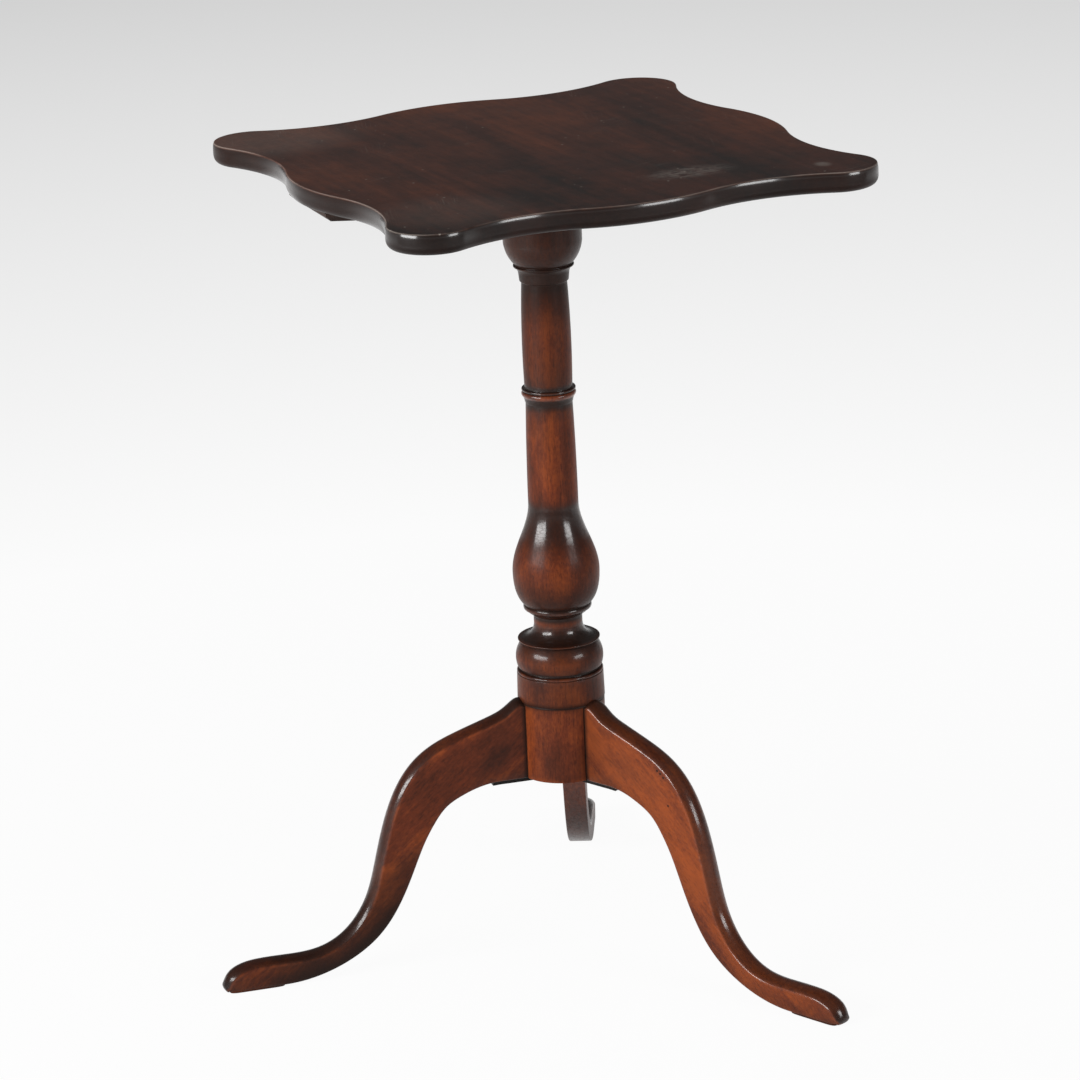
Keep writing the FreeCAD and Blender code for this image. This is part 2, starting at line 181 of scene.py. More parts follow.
class Field:
    """A shader socket whose arithmetic adds Math nodes, and from which any other node is added."""

    def __init__(self, tree, socket=None):
        self.tree = tree
        self.socket = socket

    def node(self, kind, settings=(), sockets=(), output=0):
        """Adds a node, sets its settings first and then its sockets, and gives one of its outputs."""
        made = self.tree.nodes.new(kind)
        for key, value in dict(settings).items():
            if key == "stops":
                self._set_stops(made.color_ramp, value)
            else:
                setattr(made, key, value)
        for key, value in dict(sockets).items():
            if isinstance(value, Field):
                self.tree.links.new(value.socket, made.inputs[key])
            else:
                made.inputs[key].default_value = value
        return Field(self.tree, made.outputs[output] if made.outputs else None)

    @staticmethod
    def _set_stops(ramp, stops):
        """Gives a ramp its stops, each a place and a colour."""
        while len(ramp.elements) < len(stops):
            ramp.elements.new(1.0)
        for element, (place, tone) in zip(ramp.elements, stops):
            element.position = place
            element.color = (*tone, 1.0)

    def math(self, operation, *others):
        """Math node of this value and others."""
        return self.node("ShaderNodeMath", {"operation": operation}, dict(enumerate((self, *others))))

    def __add__(self, other):
        return self.math("ADD", other)

    def __sub__(self, other):
        return self.math("SUBTRACT", other)

    def __rsub__(self, other):
        return self.math("MULTIPLY_ADD", -1.0, other)

    def __mul__(self, other):
        return self.math("MULTIPLY", other)

    __radd__ = __add__
    __rmul__ = __mul__

    def step(self, low, high):
        """0 below low and 1 above high, with a smooth rise between them."""
        return self.node("ShaderNodeMapRange", {"interpolation_type": "SMOOTHSTEP"},
                         {"Value": self, "From Min": low, "From Max": high})

    def stretched(self, scale=(1.0, 1.0, 1.0), turn=ORIGIN, shift=ORIGIN):
        """The same coordinates, scaled along each axis, then turned and shifted."""
        return self.node("ShaderNodeMapping", {},
                         {"Vector": self, "Scale": scale, "Rotation": turn, "Location": shift})

    def noise(self, scale, detail=2.0, roughness=0.5, distortion=0.0, shift=ORIGIN):
        """Noise over these coordinates, with one scale or one for each axis."""
        scales = scale if isinstance(scale, tuple) else (scale,) * 3
        return self.node("ShaderNodeTexNoise", {}, {
            "Vector": self.stretched(scales, shift=shift), "Scale": 1.0, "Detail": detail,
            "Roughness": roughness, "Distortion": distortion})

    def cells(self, settings, scale=1.0, output="Distance"):
        """Cell pattern over these coordinates."""
        return self.node("ShaderNodeTexVoronoi", settings, {"Vector": self, "Scale": scale}, output)

    def vector(self, operation, *others):
        """A value worked out from this vector and others."""
        return self.node("ShaderNodeVectorMath", {"operation": operation}, dict(enumerate((self, *others))),
                         output="Value")

    def axes(self):
        """The three parts of this vector."""
        return [self.node("ShaderNodeSeparateXYZ", {}, {0: self}, output=axis) for axis in range(3)]

    def tint(self, first, second):
        """Mixes two colours by this value."""
        first, second = [tone if isinstance(tone, Field) else (*tone, 1.0) for tone in (first, second)]
        return self.node("ShaderNodeMix", {"data_type": "RGBA"}, {0: self, 6: first, 7: second}, output=2)

    def ramp(self, *stops):
        """The colour at this value between stops, each a place and a colour."""
        return self.node("ShaderNodeValToRGB", {"stops": stops}, {"Fac": self})


def largest(fields):
    """The largest of several fields at each place."""
    return reduce(lambda most, field: most.math("MAXIMUM", field), fields)


# Gloss of the polish, the same all over a piece
POLISH = {"Specular IOR Level": 0.12, "Coat Roughness": 0.15, "Coat IOR": 1.5}


def new_material(name):
    """An empty node material, the field that its nodes are added from, and its Object coordinates."""
    material = bpy.data.materials.new(name)
    material.use_nodes = True
    material.node_tree.nodes.clear()
    start = Field(material.node_tree)
    return material, start, start.node("ShaderNodeTexCoord", output="Object")


def finish_material(start, sockets, bump, bump_height):
    """Principled shader with a bump of the given height in metres, joined to the output."""
    normal = start.node("ShaderNodeBump", {}, {"Height": bump, "Distance": bump_height, "Strength": 1.0})
    shader = start.node("ShaderNodeBsdfPrincipled", {}, {**sockets, "Normal": normal})
    start.node("ShaderNodeOutputMaterial", {}, {"Surface": shader})


def attribute(start, name):
    """The piece's own values under this name."""
    return start.node("ShaderNodeAttribute", {"attribute_name": name}, output="Fac")


def joint_lines(place):
    """1 on the lines of the drum where the flat sides of the legs meet it, and 0 elsewhere."""
    half = bpy.context.scene.stand_sizes.leg_thickness / 2
    marks = []
    for angle in LEG_ANGLES.values():
        out, across, level = place.stretched(turn=(0.0, 0.0, math.radians(-angle))).axes()
        side = (across.math("ABSOLUTE") - half).math("ABSOLUTE").step(1.6 * MM, 0.5 * MM)
        marks.append(side * out.step(0.0, 10 * MM) * level.step(HUB_TOP + 1.5 * MM, HUB_TOP))
    return largest(marks)


def worm_holes(place):
    """1 in the worm holes, and 0 elsewhere."""
    return largest([place.vector("DISTANCE", hole).step(1.4 * MM, 0.7 * MM) for hole in WORM_HOLES])


def streaks(grain, fine, long):
    """Scale of noise along each axis: long along the grain and fine across it."""
    return tuple(long if axis == grain else fine for axis in range(3))


def wood_tones(colours):
    """Dark, mid and light colour of the column and legs."""
    return colours.wood_dark, colours.wood_mid, colours.wood_light


def wood(name, tones, grain, patina, turn=ORIGIN, shift=ORIGIN, lightness=0.0, dents=None):
    """Old wood under worn varnish.

    Streaks are noise stretched along the grain: broad figure, grain lines, blotches and mottle. Their sum picks a
    colour between dark, mid and light, and short pores darken it. Cloudy patina, the piece's own attribute of
    stain and shade and its dents, a function of the place, pull it to the dark colour. On the column that
    attribute also holds painted shade, in the groove at 223 to 225 mm and under the top. Its arris attribute pulls
    it to the light, worn colour. The varnish, a coat with fine cracks, follows the piece's varnish attribute.
    """
    dark, mid, light = tones
    material, start, place = new_material(name)
    recess = attribute(start, "recess")
    if dents:
        recess = recess.math("MAXIMUM", dents(place) * 0.95)
    varnish = attribute(start, "varnish")
    place = place.stretched(turn=turn, shift=shift)
    figure = place.noise(streaks(grain, 30.0, 7.0), detail=3.0, distortion=0.6)
    lines = place.noise(streaks(grain, 300.0, 10.0), detail=3.0, roughness=0.6)
    mottle = place.noise(streaks(grain, 420.0, 260.0), roughness=0.6, shift=(6.3, 0.2, 4.1))
    clouds = place.noise(streaks(grain, 22.0, 11.0), detail=4.0, roughness=0.55, shift=(3.1, 1.7, 0.4))
    blotch = place.noise(streaks(grain, 75.0, 40.0), detail=3.0, roughness=0.6, shift=(0.9, 5.2, 2.3))
    streak = figure * 0.42 + lines * 0.16 + blotch * 0.26 + mottle * 0.16 + lightness
    tone = streak.ramp((0.28, dark), (0.48, mid), (0.62, light))
    pore = place.noise(streaks(grain, 1300.0, 110.0), detail=1.0).step(0.58, 0.68) * 0.38
    tone = pore.tint(tone, dark)
    stain = (clouds.step(0.40, 0.72) * patina + blotch.step(0.46, 0.74) * 0.16).math("MINIMUM", 0.85)
    # Old stain, and on the column painted shade too, come in here from the piece's attribute.
    stain = 1.0 - (1.0 - stain) * (1.0 - recess)
    tone = stain.tint(tone, dark)
    worn = attribute(start, "arris") * (1.0 - recess * 0.95) * blotch.step(0.40, 0.62) * 0.40
    tone = worn.tint(tone, light)

    ripple = place.noise(130.0)
    crack = place.stretched((190.0, 190.0, 420.0)).cells({"feature": "DISTANCE_TO_EDGE"}).step(0.09, 0.02)
    coat = varnish * (0.7 + clouds.step(0.36, 0.60) * 0.3) * (1.0 - crack * 0.5)
    bump = ripple * 0.60 + lines * 0.14 - pore * 0.4 - crack * varnish * 0.3
    finish_material(start, {"Base Color": tone, "Roughness": 0.36 + clouds * 0.12 + pore * 0.25,
                            "Coat Weight": coat, **POLISH}, bump, 0.22 * MM)
    return material


# Surfaces

def spline(knots, values, places):
    """Natural cubic spline through values at knots: second derivatives from one linear system, then the
    cubic of the interval in which each place lies."""
    gap = np.diff(knots)
    slope = np.diff(values, axis=0) / gap[:, None]
    count = len(knots)
    system = np.eye(count)
    inner = np.arange(1, count - 1)
    system[inner, inner - 1] = gap[:-1]
    system[inner, inner] = 2 * (gap[:-1] + gap[1:])
    system[inner, inner + 1] = gap[1:]
    right = np.zeros_like(values)
    right[1:-1] = 6 * np.diff(slope, axis=0)
    curve = np.linalg.solve(system, right)
    index = np.clip(np.searchsorted(knots, places) - 1, 0, count - 2)
    step = gap[index][:, None]
    after = (places - knots[index])[:, None]
    before = step - after
    return (curve[index] * before ** 3 + curve[index + 1] * after ** 3) / (6 * step) + (
        values[index] / step - curve[index] * step / 6) * before + (
        values[index + 1] / step - curve[index + 1] * step / 6) * after


def lengths(points):
    """Distance along a line of points to each of them."""
    return np.concatenate(([0.0], np.cumsum(np.linalg.norm(np.diff(points, axis=0), axis=1))))


def even_steps(points, along, count):
    """The same line with points at even steps of a measure that grows along it."""
    places = np.linspace(0, along[-1], count)
    return np.stack([np.interp(places, along, axis) for axis in points.T], axis=1)


def evenly(points, spacing):
    """The same line with points at an even spacing."""
    along = lengths(points)
    return even_steps(points, along, int(round(along[-1] / spacing)) + 1)


def softened(points, spacing, radius):
    """The line blurred by a bell curve of the given radius, which rounds its corners; ends stay."""
    reach = int(3 * radius / spacing)
    weight = np.exp(-0.5 * (np.arange(-reach, reach + 1) * spacing / radius) ** 2)
    weight /= weight.sum()
    before = 2 * points[0] - points[reach:0:-1]
    after = 2 * points[-1] - points[-2:-reach - 2:-1]
    padded = np.concatenate([before, points, after])
    return np.stack([np.convolve(axis, weight, mode="valid") for axis in padded.T], axis=1)


def dense_at_bends(points, longest, widest_turn):
    """The line with points close together where it bends: even steps of length and turning added up."""
    heading = np.unwrap(np.arctan2(*np.diff(points, axis=0).T[::-1]))
    turning = np.concatenate(([0.0], np.cumsum(np.abs(np.diff(heading))), [0.0]))
    turning[-1] = turning[-2]
    effort = lengths(points) / longest + turning / widest_turn
    return even_steps(points, effort, int(effort[-1]) + 1)


def rightwards(directions):
    """Unit vectors to the right of directions in a plane."""
    return directions[..., ::-1] * (1, -1) / np.linalg.norm(directions, axis=-1, keepdims=True)


def unit_circle(count):
    """Points round a circle of radius 1."""
    angle = np.linspace(0, 2 * math.pi, count, endpoint=False)
    return np.stack([np.cos(angle), np.sin(angle)], axis=1)


def at_levels(flat, levels):
    """Rings in space from flat rings, an array of rows by columns by two, and the level of each."""
    return np.concatenate([flat, np.broadcast_to(levels[:, None, None], (*flat.shape[:2], 1))], axis=2)


def tube_faces(rows, columns):
    """Quads of a grid that wraps round its columns, and triangles to a pole before its first row and
    another after its last."""
    index = np.arange(rows * columns).reshape(rows, columns)
    beside = np.roll(index, -1, axis=1)
    quads = np.stack([index[:-1], beside[:-1], beside[1:], index[1:]], axis=-1).reshape(-1, 4)
    first_pole = np.full(columns, rows * columns)
    last_pole = first_pole + 1
    first = np.stack([beside[0], index[0], first_pole], axis=-1)
    last = np.stack([index[-1], beside[-1], last_pole], axis=-1)
    return quads, np.concatenate([first, last])


def tube(rings):
    """Closed surface from rings of points, an array of rows by columns by three, with a pole in the middle of
    the first and last ring. Faces are turned outwards by the sign of the volume that they enclose."""
    rows, columns = rings.shape[:2]
    points = np.concatenate([rings.reshape(-1, 3), rings[0].mean(axis=0)[None], rings[-1].mean(axis=0)[None]])
    quads, triangles = tube_faces(rows, columns)
    halves = np.concatenate([triangles, quads[:, :3], quads[:, [0, 2, 3]]])
    corner = points[halves]
    volume = np.einsum("ij,ij->i", corner[:, 0], np.cross(corner[:, 1], corner[:, 2])).sum()
    if volume < 0:
        quads, triangles = quads[:, ::-1], triangles[:, ::-1]
    return points, quads.tolist() + triangles.tolist()


def joined(*surfaces):
    """Several surfaces as one list of points and one of faces."""
    points = np.concatenate([surface[0] for surface in surfaces])
    starts = np.cumsum([0] + [len(surface[0]) for surface in surfaces[:-1]])
    faces = [[corner + start for corner in face]
             for (_, surface_faces), start in zip(surfaces, starts.tolist()) for face in surface_faces]
    return points, faces


def new_object(name, data):
    """A new object at the origin of the scene."""
    made = bpy.data.objects.new(name, data)
    bpy.context.scene.collection.objects.link(made)
    return made


def add_piece(name, node, slot, surface, material, **attributes):
    """Puts a surface into a smooth mesh that rides on the stand in place of a node."""
    points, faces = surface
    mesh = bpy.data.meshes.new(name)
    mesh.from_pydata(points, [], faces)
    mesh.polygons.foreach_set("use_smooth", np.ones(len(mesh.polygons), dtype=bool))
    for key, values in attributes.items():
        mesh.attributes.new(key, "FLOAT", "POINT").data.foreach_set("value", values.astype(np.float32))
    mesh.materials.append(material)
    if mesh.validate():
        raise RuntimeError("%s has faulty faces" % name)
    piece = new_object(name, mesh)
    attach(piece, "root")
    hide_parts(node)


def turned_about(points, degrees):
    """Points turned about the column's axis."""
    angle = math.radians(degrees)
    turn = np.array(((math.cos(angle), -math.sin(angle), 0), (math.sin(angle), math.cos(angle), 0), (0, 0, 1)))
    return points @ turn.T


# Top board

def arc_points(centre, radius, start, end, spacing, inside=False):
    """Points and outward normals of an arc, side by side in rows of four, without its last point."""
    count = int(math.ceil(abs(end - start) * radius / spacing))
    angle = start + (end - start) * np.arange(count) / count
    ray = np.stack([np.cos(angle), np.sin(angle)], axis=1)
    return np.concatenate([centre + radius * ray, -ray if inside else ray], axis=1)


def serpentine(sizes, spacing=2.0 * MM):
    """Outline of the top and its normals. An eighth of it is half a bulge, a cove that touches it and the lobe
    from outside, and half a lobe; it is mirrored about the diagonal, and the quarter is turned three times."""
    half = TOP_WIDTH / 2
    bulge = np.array((half - sizes.bulge_setback - sizes.bulge_radius, 0.0))
    lobe = np.array((half - sizes.lobe_radius, half - sizes.lobe_radius))
    to_bulge = sizes.bulge_radius + sizes.cove_radius
    to_lobe = sizes.lobe_radius + sizes.cove_radius
    span = np.linalg.norm(lobe - bulge)
    forward = (lobe - bulge) / span
    along = (to_bulge ** 2 - to_lobe ** 2 + span ** 2) / (2 * span)
    across = math.sqrt(to_bulge ** 2 - along ** 2)
    cove = bulge + forward * along + rightwards(forward) * across

    def heading(start, end):
        return math.atan2(end[1] - start[1], end[0] - start[0])

    circle = 2 * math.pi
    eighth = np.concatenate([
        arc_points(bulge, sizes.bulge_radius, 0.0, heading(bulge, cove), spacing),
        arc_points(cove, sizes.cove_radius, heading(cove, bulge) % circle, heading(cove, lobe) % circle, spacing,
                   inside=True),
        arc_points(lobe, sizes.lobe_radius, heading(lobe, cove), circle / 8, spacing),
    ])
    diagonal = math.sqrt(0.5)
    tip = half - sizes.lobe_radius + sizes.lobe_radius * diagonal
    quarter = np.concatenate([eighth, [(tip, tip, diagonal, diagonal)], eighth[:0:-1, [1, 0, 3, 2]]])
    turns = [np.linalg.matrix_power(((0, 1), (-1, 0)), number) for number in range(4)]
    pairs = np.concatenate([quarter.reshape(-1, 2, 2) @ turn for turn in turns])
    return pairs[:, 0], pairs[:, 1]


EDGE_FLAT = 6.0 * MM  # flat face that the edge's profile takes in at both ends
EDGE_STEP = 0.1 * MM
EDGE_POWER = 0.78


def edge_profile(sizes):
    """Inset and drop from the upper arris round to the underside: down to the widest part the inset falls by a
    fourth power, so that most of the rounding is near the arris, and a quarter of a superellipse follows. Its
    corners are softened by a blur."""
    belly, inset, under = sizes.edge_belly, sizes.edge_inset, sizes.edge_under
    upper = np.linspace(0, 1, 40)
    lower = np.linspace(0, math.pi / 2, 60)[1:]
    line = np.concatenate([
        ((inset + EDGE_FLAT, 0.0),),
        np.stack([inset * (1 - upper) ** 4, belly * upper], axis=1),
        np.stack([under * (1 - np.abs(np.cos(lower)) ** EDGE_POWER),
                  belly + (TOP_THICKNESS - belly) * np.sin(lower) ** EDGE_POWER], axis=1),
        ((under + EDGE_FLAT, TOP_THICKNESS),),
    ])
    fine = softened(evenly(line, EDGE_STEP), EDGE_STEP, sizes.arris / 2)
    return dense_at_bends(fine, longest=1.6 * MM, widest_turn=math.radians(7))


def make_top_board(sizes):
    """Rings of the outline: shrunk copies over the flat face, offsets by the edge's profile round the edge, and
    shrunk copies under the board. The on_edge attribute rises from 0 on the flat face to 1 below the arris and
    stays there, and the arris attribute is a bell curve about the arris."""
    outline, normals = serpentine(sizes)
    profile = edge_profile(sizes)
    edge = at_levels(outline - normals * profile[:, 0, None, None], STAND_HEIGHT - profile[:, 1])
    shares = np.linspace(0.0, 1.0, 16)[1:-1, None, None]
    flat = np.array((1.0, 1.0, 0.0))
    upper = edge[:1] * (flat * shares + (1 - flat))
    under = edge[-1:] * (flat * shares[::-1] + (1 - flat))

    def at_points(above, on_edge, below):
        rows = np.concatenate([np.full(len(upper), above), on_edge, np.full(len(under), below)])
        return np.append(np.repeat(rows, len(outline)), (above, below))

    return tube(np.concatenate([upper, edge, under])), {
        "on_edge": at_points(0.0, np.clip((profile[:, 1] - 0.2 * MM) / (1.2 * MM), 0, 1), 1.0),
        "arris": at_points(0.0, np.exp(-((lengths(profile) - EDGE_FLAT) / (0.55 * MM)) ** 2), 0.0),
    }


# Scratches on the top: their direction in radians, how fine they are and where their patches lie
SCRATCHES = ((0.35, 260.0, 0.0), (-0.5, 330.0, 7.0), (1.25, 300.0, 3.0))
# Scuff marks and painted sheen on the top: centre and half sizes in metres, how broken up they are and how strong.
# The first two rows are scuff marks; the last two are a painted pale sheen near the left and front lobes.
SCUFFS_AND_SHEEN = (
    (0.068, -0.140, 0.050, 0.024, 1.0, 0.50),
    (0.170, -0.178, 0.009, 0.011, 0.2, 0.50),
    (-0.170, 0.170, 0.100, 0.080, 0.3, 0.23),
    (-0.150, -0.150, 0.080, 0.070, 0.3, 0.12),
)


def scratches(place):
    """Fine scratches: narrow bands of noise drawn out along a direction, in patches."""
    marks = []
    for turn, fine, patch in SCRATCHES:
        turned = place.stretched(turn=(0.0, 0.0, turn))
        lane = turned.noise((fine, 7.0, 1.0), detail=1.0, shift=(patch, 0.0, 0.0))
        here = place.noise(14.0, detail=3.0, shift=(patch, 2.0, 0.0)).step(0.56, 0.74)
        marks.append((lane - 0.5).math("ABSOLUTE").step(0.016, 0.004) * here)
    return largest(marks)


def specks(place):
    """Specks: dots of several sizes in a few of the cells of a cell pattern, in dusty patches."""
    dot, pick = [place.cells({"voronoi_dimensions": "2D"}, 75.0, output) for output in ("Distance", "Color")]
    chosen = pick.node("ShaderNodeSeparateColor", {}, {"Color": pick})
    dusty = place.noise(16.0, detail=3.0, shift=(5.0, 1.0, 0.0)).step(0.42, 0.62)
    return (dot - chosen.step(0.78, 1.0) * 0.05).step(0.045, 0.0) * chosen.step(0.74, 1.0) * dusty


def scuffs_and_sheen(place):
    """Dull scuff marks, and a painted pale sheen near two lobes: soft ellipses broken up by gritty noise."""
    grit = place.noise((90.0, 240.0, 90.0), detail=4.0, roughness=0.7).step(0.36, 0.62)
    marks = []
    for x, y, wide, long, broken, strength in SCUFFS_AND_SHEEN:
        spot = place.stretched((1 / wide, 1 / long, 0.0), shift=(-x / wide, -y / long, 0.0))
        marks.append(spot.vector("LENGTH").step(1.0, 0.3) * (grit * broken + (1.0 - broken)) * strength)
    return largest(marks)


def top_finish(colours):
    """Very dark polished board: streaks along Y, red-brown where light catches it, and a satin flat face. The face
    has fine scratches, specks and dull scuff marks, a painted pale sheen near the left and front lobes, and a pale
    line along the arris that is worn polish and a painted highlight. The edge is darker, and its upper half is
    glossy. On the side towards -X the face is darker too, and the edge is glossy in the coves and dull between
    them."""
    material, start, place = new_material("top_polish")
    x, y, level = place.axes()
    edge = attribute(start, "on_edge")
    face = 1.0 - edge
    left = x.step(-0.10, -0.16) * y.step(-0.16, -0.11)
    coves = left * (y.step(0.13, 0.09) * y.step(-0.01, 0.025) + y.step(-0.055, -0.10))
    figure = place.noise((13.0, 2.2, 13.0), detail=4.0, distortion=0.8)
    lines = place.noise((170.0, 5.0, 170.0), detail=3.0, roughness=0.6)
    clouds = place.noise(8.0, detail=4.0, roughness=0.6, shift=(1.2, 4.4, 0.0))
    mottle = place.noise((75.0, 50.0, 75.0), detail=4.0, roughness=0.65)
    darker = x.step(-0.12, -0.20) * (y.step(0.02, 0.18) * 0.09 + 0.04)
    streak = figure * 0.40 + lines * 0.14 + clouds * 0.30 + mottle * 0.16 + y * 0.28 - darker
    tone = streak.ramp((0.38, colours.top_dark), (0.50, colours.top_mid), (0.66, colours.top_light))
    pore = place.noise((1300.0, 60.0, 1300.0), detail=1.0).step(0.58, 0.70) * 0.4
    tone = pore.tint(tone, colours.top_dark)
    tone = (edge * (0.88 + left * 0.04)).tint(tone, colours.top_edge)
    # Pale line along the top's arris: worn polish, and a painted highlight.
    worn = attribute(start, "arris") * clouds.step(0.34, 0.60) * 0.55
    tone = worn.tint(tone, colours.bloom_and_sheen)
    scratch = scratches(place)
    dust = place.noise((800.0, 500.0, 800.0), detail=1.0).step(0.58, 0.76)
    # haze holds scratches, specks, scuff marks and dust, and also the painted pale sheen near two lobes.
    haze = (scratch * 0.20 + specks(place) * 0.9 + scuffs_and_sheen(place) + dust * 0.07) * face
    tone = haze.tint(tone, colours.bloom_and_sheen)

    ripple = place.noise(60.0, detail=3.0)
    bump = ripple * 0.5 + lines * 0.14 + scratch * face * 0.2 - pore * 0.4
    upper = level.step(STAND_HEIGHT - 13 * MM, STAND_HEIGHT - 7 * MM) * 0.84
    glossy = (upper * (1.0 - (left - coves) * 0.65)).math("MAXIMUM", coves * 0.90)
    finish_material(start, {"Base Color": tone, "Roughness": 0.42 + clouds * 0.10 * face + haze * 0.2,
                            "Coat Weight": 0.24 + edge * (glossy - 0.14), **POLISH}, bump, 0.24 * MM)
    return material


class CANDLE_STAND_OT_top_board(bpy.types.Operator):
    """Make the serpentine top with its rounded edge"""
    bl_idname = "candle_stand.top_board"
    bl_label = "Top board"

    def execute(self, context):
        scene = context.scene
        surface, attributes = make_top_board(scene.stand_sizes)
        add_piece("top_board", "table_top", "top_wood", surface, top_finish(scene.stand_colours), **attributes)
        return {"FINISHED"}


# Column

def turning(start, rows):
    """Outline through rows of radius, rise and bulge: each stretch is its chord pushed out by a parabola."""
    radius, rise, bulge = np.array(rows).T
    corners = np.concatenate([[start], np.stack([radius, np.cumsum(rise) + start[1]], axis=1)])
    chord = np.diff(corners, axis=0)[:, None]
    share = np.linspace(0, 1, 60, endpoint=False)[None, :, None]
    push = rightwards(chord) * bulge[:, None, None] * 4 * share * (1 - share)
    stretch = corners[:-1, None] + chord * share + push
    return np.concatenate([stretch.reshape(-1, 2), corners[-1:]])


def hermite(start, end, leaving, arriving):
    """Cubic from start to end with given directions at both ends, as long as the chord."""
    share = np.linspace(0, 1, 200, endpoint=False)[:, None]
    reach = np.linalg.norm(end - start)
    return ((2 * share ** 3 - 3 * share ** 2 + 1) * start + (share ** 3 - 2 * share ** 2 + share) * reach * leaving
            + (3 * share ** 2 - 2 * share ** 3) * end + (share ** 3 - share ** 2) * reach * arriving)


def column_profile():
    """Radius and height from the centre of the foot to the centre of the tenon's end, in metres."""
    lower = turning(np.array((0.0, HUB_BOTTOM / MM)), LOWER_TURNING)
    foot = lower[-1]
    belly = np.array((VASE_RADIUS, foot[1] + VASE_LOWER))
    neck = np.array((SHAFT_FOOT, belly[1] + VASE_UPPER))
    slope = np.array((math.cos(VASE_FOOT_SLOPE), math.sin(VASE_FOOT_SLOPE)))
    upright = np.array((0.0, 1.0))
    upper = turning(neck, UPPER_TURNING)
    end = (STAND_HEIGHT - TOP_THICKNESS) / MM
    tenon = ((upper[-1, 0], COLUMN_HEAD), (TENON_RADIUS, COLUMN_HEAD), (TENON_RADIUS, end), (0.0, end))
    swell = [hermite(foot, belly, slope, upright), hermite(belly, neck, upright, upright)]
    line = np.concatenate([lower[:-1], *swell, upper, tenon])
    spacing, softness = 0.1, 0.3
    fine = softened(evenly(line, spacing), spacing, softness)
    return dense_at_bends(fine, longest=3.2, widest_turn=math.radians(8)) * MM


# Heights in millimetres, how dark the colour is there round the column, and how thick the varnish is. The darkness
# is old stain. In the groove at 223 to 225 mm, and from about 566 mm up to the column's head under the top, it is
# also painted shade.
PATINA_AND_SHADE_BANDS = np.array((
    (157.0, 0.30, 0.05), (164.0, 0.08, 0.08), (214.0, 0.10, 0.08), (221.5, 0.25, 0.05), (223.0, 0.85, 0.00),
    (225.4, 0.85, 0.00), (227.0, 0.48, 0.10), (236.0, 0.44, 0.14), (246.0, 0.56, 0.20), (248.0, 0.62, 0.70),
    (250.0, 0.72, 0.70), (252.0, 0.95, 0.30), (255.0, 0.66, 0.25), (262.0, 0.44, 0.16), (266.0, 0.60, 0.12),
    (268.0, 0.66, 0.34), (272.0, 0.78, 0.74), (275.5, 0.80, 0.68), (277.8, 0.82, 0.50), (280.0, 0.68, 0.90),
    (288.0, 0.56, 0.95), (292.0, 0.32, 0.30), (296.0, 0.45, 0.20), (299.5, 0.90, 0.70), (305.0, 0.86, 0.90),
    (309.0, 0.86, 0.30), (317.0, 0.78, 0.20), (326.0, 0.60, 0.14), (333.0, 0.36, 0.12), (340.0, 0.22, 0.07),
    (350.0, 0.20, 0.07), (358.0, 0.40, 0.06), (365.0, 0.64, 0.08), (371.5, 0.78, 0.95), (378.0, 0.82, 1.00),
    (394.0, 0.80, 0.90), (398.0, 0.66, 0.30), (402.0, 0.22, 0.10), (412.0, 0.04, 0.06), (455.0, 0.02, 0.06),
    (470.0, 0.22, 0.10), (481.0, 0.56, 0.25), (485.0, 0.90, 0.40), (490.6, 0.88, 0.40), (491.3, 0.20, 1.00),
    (495.3, 0.24, 1.00), (495.8, 0.95, 0.40), (496.4, 0.90, 1.00), (498.0, 0.85, 0.90), (502.0, 0.66, 0.25),
    (514.0, 0.42, 0.14), (530.0, 0.26, 0.10), (550.0, 0.36, 0.12), (566.0, 0.68, 0.14), (580.0, 0.88, 0.16),
    (588.0, 0.93, 0.20), (590.0, 0.95, 0.25), (606.0, 0.95, 0.30), (610.0, 0.88, 0.40), (626.0, 0.88, 0.44),
    (662.0, 0.90, 0.44),
))
COLUMN_SIDES = 160


def make_column():
    """The profile turned about the axis. The attribute of stain and shade is the band's darkness at each height:
    old stain, and painted shade in the groove at 223 to 225 mm and from about 566 mm up under the top. It is more
    in hollows, which are where a wider blur of the outline lies outside it. The arris attribute is the reverse,
    and the varnish attribute is the varnish's band."""
    inner = column_profile()[1:-1]
    rings = at_levels(inner[:, :1, None] * unit_circle(COLUMN_SIDES), inner[:, 1])
    spacing, blur = 0.4 * MM, 2.4 * MM
    even = evenly(inner, spacing)
    side = rightwards(np.gradient(even, axis=0))
    sunk = np.einsum("ij,ij->i", softened(even, spacing, blur) - even, side)
    hollow = np.interp(lengths(inner), lengths(even), sunk) / MM
    # stain holds the bands' old stain, and their painted shade in the groove and under the top.
    heights, stain, coat = PATINA_AND_SHADE_BANDS.T
    recess = np.interp(inner[:, 1] / MM, heights, stain) + np.clip(hollow * 1.6, 0, 0.6)
    rows = {
        "recess": np.clip(recess, 0, 0.95),
        "arris": np.clip(-hollow * 1.8 - 0.15, 0, 1),
        "varnish": np.interp(inner[:, 1] / MM, heights, coat),
    }
    return tube(rings), {key: np.append(np.repeat(row, COLUMN_SIDES), (0.0, 0.0)) for key, row in rows.items()}


class CANDLE_STAND_OT_column(bpy.types.Operator):
    """Turn the column with its capital, ring, vase, torus and drum"""
    bl_idname = "candle_stand.column"
    bl_label = "Turned column"

    def execute(self, context):
        tones = wood_tones(context.scene.stand_colours)
        surface, attributes = make_column()
        finish = wood("column_polish", tones, grain=2, patina=0.40, dents=joint_lines)
        add_piece("turned_column", "column", "column_wood", surface, finish, **attributes)
        return {"FINISHED"}


# Legs

LEG_SECTIONS = 190
LEG_EASE = 0.09  # how much wider the sections are spaced at both ends


